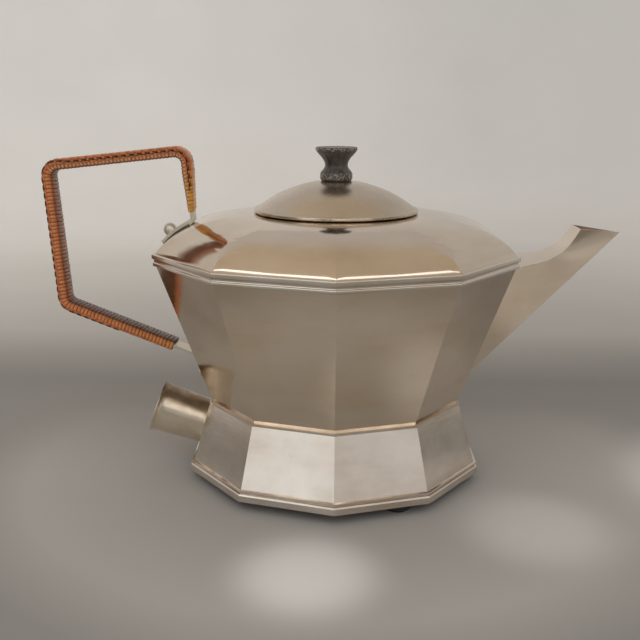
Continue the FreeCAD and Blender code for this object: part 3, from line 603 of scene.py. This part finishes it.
# %% One turn
def one_turn():
    bpy.ops.object.select_all(action="DESELECT")
    bpy.ops.mesh.primitive_torus_add(
        major_segments=28, minor_segments=8, major_radius=(WRAP_CORNER - STRAND_HALF) * MM,
        minor_radius=STRAND_HALF * MM, rotation=(0, math.pi / 2, 0))
    turn = bake_place(bpy.context.object)
    for axis, reach in ((1, WRAP_HALF_DEPTH - WRAP_CORNER), (2, WRAP_HALF_WIDTH - WRAP_CORNER)):
        for side in (-1, 1):
            select_where(turn, lambda v: v.co[axis] * side > 1e-6, "VERT")
            move = [0, 0, 0]
            move[axis] = side * reach * MM
            bpy.ops.transform.translate(value=move)
    select_where(turn, lambda v: True, "VERT")
    bpy.ops.transform.resize(value=(STRAND_SPREAD, 1, 1))
    done(turn)
    return turn


turn = one_turn()
print("faces in a turn:", len(turn.data.polygons))

# %% [markdown]
# ## Gathering strands
# A hundred and more turns would clutter the file as objects of their own, so copies are gathered into
# one piece. Every point of a copy also carries numbers for the finish, stored as attributes: how
# fresh its colour is, its strand's own shade, how much painted shade it takes, and how much painted
# highlight.

# %% Strand bundle
class Bundle:
    def __init__(self, name, *attributes):
        self.name, self.bm, self.count = name, bmesh.new(), 0
        for key in attributes:
            self.bm.verts.layers.float.new(key)

    def add(self, mesh, **values):
        # A value is one number for the whole strand, or a list with one for each point.
        first = len(self.bm.verts)
        self.bm.from_mesh(mesh)
        self.bm.verts.ensure_lookup_table()
        for key, value in values.items():
            layer = self.bm.verts.layers.float[key]
            for i, vert in enumerate(self.bm.verts[first:]):
                vert[layer] = value[i] if isinstance(value, list) else value
        bpy.data.meshes.remove(mesh)
        self.count += 1

    def make(self):
        mesh = bpy.data.meshes.new(self.name)
        self.bm.to_mesh(mesh)
        self.bm.free()
        made = bpy.data.objects.new(self.name, mesh)
        scene.collection.objects.link(made)
        return made


print("strand bundle ready")

# %% [markdown]
# ## Winding the handle
# The turns are laid side by side from the lower foot to the lid. The wrap thins over its last two
# centimetres, down to the bare strap, and each turn gets its own small lean, width and wobble from a
# seeded random draw. The cane is reddish where it is handled and yellow at the tail. The side that
# faces into the loop is painted brown as shade, and a pale painted highlight runs in a line along the
# near face.

# %% Cane turns
TAIL_LENGTH, TAIL_SHRINK = 19.5, 0.42
FRESH_LENGTH, FRESH_BLEND = 24.0, 14.0
START_LENGTH, START_FRESH = 22.0, 0.35
# Strength of the painted shade on the side facing into the loop, on the lower run and on the runs above
# it.
LOWER_RUN_SHADE, UPPER_RUNS_SHADE = 0.85, 0.65


def clamp(value):
    return min(1.0, max(0.0, value))


def taper(place):
    # Full section as far as the tail by the lid, then down to the bare strap.
    return 1.0 - TAIL_SHRINK * clamp((place - (handle_length - TAIL_LENGTH)) / TAIL_LENGTH)


def tone_of(place):
    # 0 is the reddish, much-handled cane; 1 the yellow cane of the tail.
    tail = (place - (handle_length - FRESH_LENGTH)) / FRESH_BLEND
    start = (START_LENGTH - place) / START_LENGTH
    return clamp(max(tail, START_FRESH * start))


def highlight_of(place, spot):
    # A pale painted highlight runs along the near face, low on the top bar and midway on the left leg.
    if spot.z < 0:
        return 0.0
    centre, strength = (-0.50, 1.0) if place > TOP_BAR else (0.05, 0.45)
    depth = spot.y / (WRAP_HALF_DEPTH * MM)
    crest = max(0.0, 1.0 - abs(spot.x) / (0.8 * STRAND_HALF * STRAND_SPREAD * MM))
    return strength * crest * min(1.0, 1.6 * max(0.0, 1.0 - abs(depth - centre) / 0.36))


def wind_turns(turn):
    bundle = Bundle("cane_turns", "fresh", "shade", "dark", "rubbed")
    flat = [v.co.copy() for v in turn.data.vertices]
    # The side that faces into the loop, 0 to 1, which takes painted shade.
    inner = [clamp((-spot.y / (WRAP_HALF_DEPTH * MM) - 0.5) / 0.3) for spot in flat]
    count = int(handle_length / TURN_PITCH)
    pitch = handle_length / count
    for i in range(count):
        place = (i + 0.5) * pitch
        size = taper(place)
        copy = turn.data.copy()
        lean = Matrix.Rotation(math.radians(random.uniform(4.0, 5.4)), 4, "Y")
        wobble = Matrix.Rotation(math.radians(random.uniform(-2.0, 2.0)), 4, "Z")
        wide, deep = random.uniform(0.97, 1.03), size * random.uniform(0.975, 1.0)
        grow = Matrix.Diagonal((wide, deep, 0.96 + 0.04 * size, 1))
        shift = Matrix.Translation(((place + random.uniform(-0.04, 0.04)) * MM, 0, 0))
        copy.transform(shift @ wobble @ lean @ grow)
        # Painted shade on the side facing into the loop, stronger on the lower run.
        loop_shade = LOWER_RUN_SHADE if place < LEFT_LEG else UPPER_RUNS_SHADE
        bundle.add(
            copy, fresh=tone_of(place), shade=random.random(),
            dark=[share * loop_shade for share in inner], rubbed=[highlight_of(place, spot) for spot in flat])
    return bundle


turns = wind_turns(turn)
cane_turns = turns.make()
bpy.data.objects.remove(turn)
print("turns of cane:", turns.count)

# %% [markdown]
# ## The plaited spine
# Along the outer near edge the strands cross over in a herringbone. Each arm of a V is an almond of
# cane: a sphere drawn out and flattened. Copies are laid on the wrap in pairs that meet in a point,
# the points leading towards the lid, and the points are darkened with painted shade. Laying a copy
# means reading its length as a distance round the section, its width as a distance along the handle,
# and its height as a lift off the surface.

# %% Plaited spine
ARM_PITCH, ARM_LEAN, ARM_WIDTH, ARM_LIFT = 4.05, 3.5, 1.62, 0.34
OUTER_REACH, NEAR_REACH, NEAR_REACH_ON_TOP = 3.5, 1.9, 1.5
PLAIT_FROM, PLAIT_SHORT_OF_END = 31.0, 14.0
SEAM_ON_EDGE, SEAM_SHIFT, SHIFT_FROM, SHIFT_LENGTH = 2.45, 1.85, 128.0, 14.0


def on_section(around, lift, size):
    # Point of the section at a distance round it from the middle of the near side, as (depth, near).
    side = -1 if around < 0 else 1
    run = abs(around)
    flat = (WRAP_HALF_DEPTH - WRAP_CORNER) * size
    radius = WRAP_CORNER * size
    if run <= flat:
        return side * run, WRAP_HALF_WIDTH + lift
    if run <= flat + radius * math.pi / 2:
        angle = (run - flat) / radius
        depth = flat + (radius + lift) * math.sin(angle)
        return side * depth, WRAP_HALF_WIDTH - radius + (radius + lift) * math.cos(angle)
    beyond = run - flat - radius * math.pi / 2
    return side * (flat + radius + lift), WRAP_HALF_WIDTH - radius - beyond


def one_arm():
    bpy.ops.object.select_all(action="DESELECT")
    bpy.ops.mesh.primitive_uv_sphere_add(
        segments=8, ring_count=12, radius=1.0, rotation=(0, math.pi / 2, 0))
    arm = bake_place(bpy.context.object)
    select_where(arm, lambda v: v.co.z < 0, "VERT")
    bpy.ops.transform.resize(value=(1, 1, 0.6))
    done(arm)
    return arm


def seam_offset(place):
    # The spine wanders: on the edge along the two left runs, nearer the viewer along the top.
    return SEAM_ON_EDGE - SEAM_SHIFT * clamp((place - SHIFT_FROM) / SHIFT_LENGTH)


def lay_arm(arm, place, side):
    copy = arm.data.copy()
    size, seam = taper(place), seam_offset(place)
    near_reach = NEAR_REACH_ON_TOP if place > TOP_BAR else NEAR_REACH
    reach = OUTER_REACH if side > 0 else near_reach
    for vert in copy.vertices:
        share = (vert.co.x + 1) / 2
        around = seam + side * reach * (1 - share) - side * 0.15
        along = place + ARM_LEAN * share - ARM_LEAN / 2 + vert.co.y * ARM_WIDTH
        body = 1.0 - 0.75 * (2 * share - 1) ** 4
        lift = vert.co.z * ARM_LIFT * body + 0.02 + 0.06 * side * share
        depth, near = on_section(around, lift, size)
        vert.co = (along * MM, depth * MM, near * MM)
    return copy


def plait(arm):
    bundle = Bundle("cane_plait", "fresh", "shade", "dark")
    # Painted shade towards the point of each V, 0 to 1.
    tips = [clamp((v.co.x - 0.1) / 0.5) for v in arm.data.vertices]
    place = PLAIT_FROM
    while place < handle_length - PLAIT_SHORT_OF_END:
        for side, step in ((1, 0.0), (-1, ARM_PITCH / 2)):
            copy = lay_arm(arm, place + step, side)
            bundle.add(copy, fresh=tone_of(place), shade=random.random(), dark=tips)
        place += ARM_PITCH
    return bundle


arm = one_arm()
arms = plait(arm)
cane_plait = arms.make()
bpy.data.objects.remove(arm)
print("arms in the plait:", arms.count)

# %% [markdown]
# ## The core under the wrap
# Thin lengthwise strips fill the space between strap and wrap. They show only as darkness between
# the turns, so one bevelled bar is enough, cut into short lengths so that it can bend, and it is
# coloured near black as painted shade. Then all three pieces are bent along the handle's path and
# stood upright.

# %% Wrap core and bending
CORE_INSET, CORE_BEVEL, CORE_CUTS = 0.75, 1.6, 110


def along_handle(edge):
    return abs(edge.verts[0].co.x - edge.verts[1].co.x) > MM


def wrap_core():
    bpy.ops.object.select_all(action="DESELECT")
    half = handle_length / 2
    bpy.ops.mesh.primitive_cube_add(size=MM, location=(half * MM, 0, 0))
    core = bpy.context.object
    deep, wide = (2 * (size - CORE_INSET) for size in (WRAP_HALF_DEPTH, WRAP_HALF_WIDTH))
    core.scale = (handle_length - 0.8, deep, wide)
    bake_place(core)
    core.name = "cane_core"
    select_where(core, along_handle, "EDGE")
    bpy.ops.mesh.bevel(offset=CORE_BEVEL * MM, segments=3)
    select_where(core, along_handle, "EDGE")
    bpy.ops.mesh.subdivide(number_cuts=CORE_CUTS)
    done(core)
    for vert in core.data.vertices:
        vert.co.y *= taper(vert.co.x / MM)
    return core


def bend_to_handle(piece):
    pick(piece)
    bend = piece.modifiers.new("bend", "CURVE")
    bend.object = handle_path
    bend.deform_axis = "POS_X"
    apply_modifiers(piece)
    edit(piece, "VERT")
    bpy.ops.mesh.select_all(action="SELECT")
    bpy.ops.transform.rotate(value=-math.pi / 2, orient_axis="X", center_override=(0, 0, 0))
    done(piece)
    return piece


cane_core = wrap_core()
for piece in (cane_core, cane_turns, cane_plait):
    bend_to_handle(piece)
    bpy.ops.object.shade_smooth()
    spots = [v.co for v in piece.data.vertices]
    corners = [pick_end(c[i] for c in spots) for pick_end in (min, max) for i in range(3)]
    print(piece.name, [round(v / MM, 2) for v in corners])
bpy.data.objects.remove(handle_path)
low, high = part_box("handle_cane")
print("CAD cane", [round(v / MM, 2) for v in (*low, *high)])

# %% [markdown]
# ## Cane finish
# Lacquered cane is glossy over long fibres. Handling has reddened most of it, and only the tail by
# the lid keeps the fresh yellow. The four numbers stored on the strands are read back as attributes:
# each one blends a further colour over the last, so no two neighbours match. Two of them are painted
# light: a pale painted highlight along the near face, and painted shade, brown on the side that faces
# into the loop and near black where it is strongest, at the plait's points.

# %% Cane finish
# Colours of the painted highlight, of the brown painted shade on the inner side, and of the deepest
# painted shade.
HIGHLIGHT_PALE, INNER_SHADE_BROWN, DEEPEST_SHADE = (1.0, 0.68, 0.42), (0.17, 0.062, 0.028), (0.025, 0.008, 0.004)


def cane_finish(name, fresh_colour, worn_colour, dark_colour):
    finish = Finish(name)
    fresh, shade, dark, rubbed = map(finish.attribute, ("fresh", "shade", "dark", "rubbed"))
    base = finish.blend(fresh, worn_colour, fresh_colour)
    fibre = finish.noise(420.0, 4.0, 0.6, finish.stretched((1.0, 0.25, 1.0)))
    own_shade = finish.spread(shade, 0, 1, 0.05, 1.0)
    grime = finish.maths("MULTIPLY", finish.spread(fibre, 0.35, 0.75, 0.1, 1.0), own_shade)
    # Painted highlight: a pale line along the near face.
    strands = finish.blend(rubbed, finish.blend(grime, base, dark_colour), HIGHLIGHT_PALE)
    # Painted shade: brown on the inner side, near black where it is strongest.
    shaded = finish.blend(dark, strands, INNER_SHADE_BROWN)
    deepest = finish.spread(dark, 0.72, 1.0, 0.0, 1.0)
    finish.feed("Base Color", finish.blend(deepest, shaded, DEEPEST_SHADE))
    finish.feed("Roughness", finish.spread(fibre, 0.3, 0.7, 0.26, 0.44))
    finish.feed("Normal", finish.bump(fibre, 0.2, 0.0003))
    finish.set(Coat_Weight=0.22, Coat_Roughness=0.2)
    return finish.material


cane = cane_finish("cane", (0.95, 0.47, 0.07), (0.86, 0.28, 0.085), (0.46, 0.12, 0.035))
# The core is coloured near black: painted shade in the gaps between the turns.
core_shadow = cane_finish("cane_shadow", (0.10, 0.045, 0.02), (0.075, 0.03, 0.014), (0.03, 0.012, 0.006))
for piece, finish in ((cane_turns, cane), (cane_plait, cane), (cane_core, core_shadow)):
    piece.data.materials.clear()
    piece.data.materials.append(finish)
    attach(piece, "kettle")
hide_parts("handle_cane")
print("cane dressed")

# %% [markdown]
# ## The knob
# The knob is turned from black-stained wood, and chipped where it is handled most: round the top rim
# and round the foot. The frame's knob is copied, remeshed into small even faces, and its surface is
# roughened with a cloud texture so that the wear is real shape and not only shading. The chips are
# placed by distance from the axis, and the lower ones by height as well.

# %% Knob
KNOB_FACE, NICK_SIZE, NICK_DEPTH = 0.32 * MM, 1.1 * MM, 0.28 * MM
RIM_FROM, RIM_TO = 10.1 * MM, 10.6 * MM
FOOT_FROM, FOOT_TO, FOOT_TOP, FOOT_FULL = 7.9 * MM, 8.2 * MM, 158.5 * MM, 157.5 * MM


def worn_knob():
    copy = bpy.data.objects.new("knob_worn", nodes["lid_knob"].data.copy())
    scene.collection.objects.link(copy)
    edit(copy, "EDGE")
    bpy.ops.mesh.select_all(action="SELECT")
    bpy.ops.mesh.customdata_custom_splitnormals_clear()
    bpy.ops.mesh.remove_doubles(threshold=WELD)
    done(copy)
    remesh = copy.modifiers.new("even_faces", "REMESH")
    remesh.mode, remesh.voxel_size = "VOXEL", KNOB_FACE
    cloud = bpy.data.textures.new("nicks", "CLOUDS")
    cloud.noise_scale, cloud.noise_depth = NICK_SIZE, 2
    nicks = copy.modifiers.new("nicks", "DISPLACE")
    nicks.texture, nicks.strength, nicks.mid_level = cloud, -NICK_DEPTH, 0.45
    nicks.texture_coords = "LOCAL"
    apply_modifiers(copy)
    bpy.ops.object.shade_smooth()
    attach(copy, "lid")
    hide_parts("lid_knob")
    return copy


def knob_finish():
    finish = Finish("worn_black")
    grain = finish.noise(300.0, 5.0, 0.65, finish.stretched((1.0, 1.0, 0.25)))
    rub = finish.noise(1000.0, 3.0)
    parts = finish.parts()
    flat = finish.node("ShaderNodeCombineXYZ")
    finish.link(parts["X"], flat.inputs["X"])
    finish.link(parts["Y"], flat.inputs["Y"])
    radius = finish.length(flat.outputs[0])
    rim = finish.spread(radius, RIM_FROM, RIM_TO, 0.0, 1.0)
    wide = finish.spread(radius, FOOT_FROM, FOOT_TO, 0.0, 0.8)
    foot = finish.maths("MULTIPLY", wide, finish.spread(parts["Z"], FOOT_TOP, FOOT_FULL, 0.0, 1.0))
    exposed = finish.maths("MAXIMUM", rim, foot)
    chips = finish.maths("MULTIPLY", exposed, finish.spread(rub, 0.48, 0.56, 0.0, 1.0))
    grey = finish.spread(grain, 0.40, 0.65, 0.0, 1.0)
    stain = finish.blend(grey, (0.045, 0.039, 0.036), (0.15, 0.13, 0.115))
    finish.feed("Base Color", finish.blend(chips, stain, (0.42, 0.37, 0.32)))
    finish.feed("Roughness", finish.spread(grain, 0.3, 0.7, 0.26, 0.50))
    finish.feed("Normal", finish.bump(grain, 0.5, 0.0003))
    finish.set(Coat_Weight=0.25, Coat_Roughness=0.25)
    return finish.material


knob = worn_knob()
knob.data.materials.clear()
knob.data.materials.append(knob_finish())
print("knob faces:", len(knob.data.polygons))

# %% [markdown]
# ## The parts that keep their CAD shape
# Fasteners, feet, the heater and the linings are left exactly as the frame gives them. They still need
# believable surfaces, for whoever lifts the lid or turns the kettle over, and the slot each one
# belongs to in the record says what it is made of.

# %% Finishes by slot
def plain_finish(name, clean, stained, rough, scale=180.0, grain=0.15):
    finish = Finish(name)
    mottle = finish.noise(scale, 4.0, 0.6)
    stain = finish.spread(mottle, 0.35, 0.7, 0.0, 1.0)
    finish.feed("Base Color", finish.blend(stain, clean, stained))
    finish.feed("Roughness", finish.spread(mottle, 0.3, 0.7, rough[0], rough[1]))
    finish.feed("Normal", finish.bump(finish.noise(6 * scale, 2.0), grain, 0.0002))
    return finish


finish_of_slot = {
    "plated_body": lid_plate,
    "plated_plinth": plinth_plate,
    "plated_trim": strap_plate,
    "plated_inner": inner_plate,
    "base_metal": plate_finish(
        "base_metal", (0.52, 0.49, 0.45), (0.33, 0.29, 0.25), (0.30, 0.50)),
    "steel_fasteners": plate_finish(
        "screw_steel", (0.56, 0.55, 0.53), (0.30, 0.26, 0.22), (0.25, 0.45), 120.0),
    "pin_brass": plate_finish(
        "pin_brass", (0.80, 0.60, 0.32), (0.48, 0.32, 0.16), (0.18, 0.34), 120.0),
    "element_metal": plate_finish(
        "element_metal", (0.42, 0.38, 0.35), (0.20, 0.16, 0.14), (0.35, 0.55), 90.0),
    "lead_copper": plate_finish(
        "lead_copper", (0.72, 0.36, 0.22), (0.35, 0.17, 0.11), (0.30, 0.50), 120.0),
    "gasket_rubber": plain_finish(
        "gasket_rubber", (0.20, 0.165, 0.125), (0.11, 0.09, 0.07), (0.6, 0.85)),
    "foot_rubber": plain_finish(
        "foot_rubber", (0.022, 0.021, 0.020), (0.055, 0.050, 0.046), (0.55, 0.8)),
    "porcelain": plain_finish(
        "porcelain", (0.78, 0.74, 0.66), (0.55, 0.47, 0.37), (0.12, 0.30), 90.0, 0.03),
    "mica": plain_finish(
        "mica", (0.50, 0.42, 0.30), (0.30, 0.23, 0.15), (0.20, 0.40)),
}
remade = {*skins, "lid_knob", "handle_cane"}
kept = [node for node in nodes if node not in remade]
for node in kept:
    nodes[node].data.materials.clear()
    nodes[node].data.materials.append(finish_of_slot[slot_names[node]].material)
print("CAD nodes kept:", len(kept))
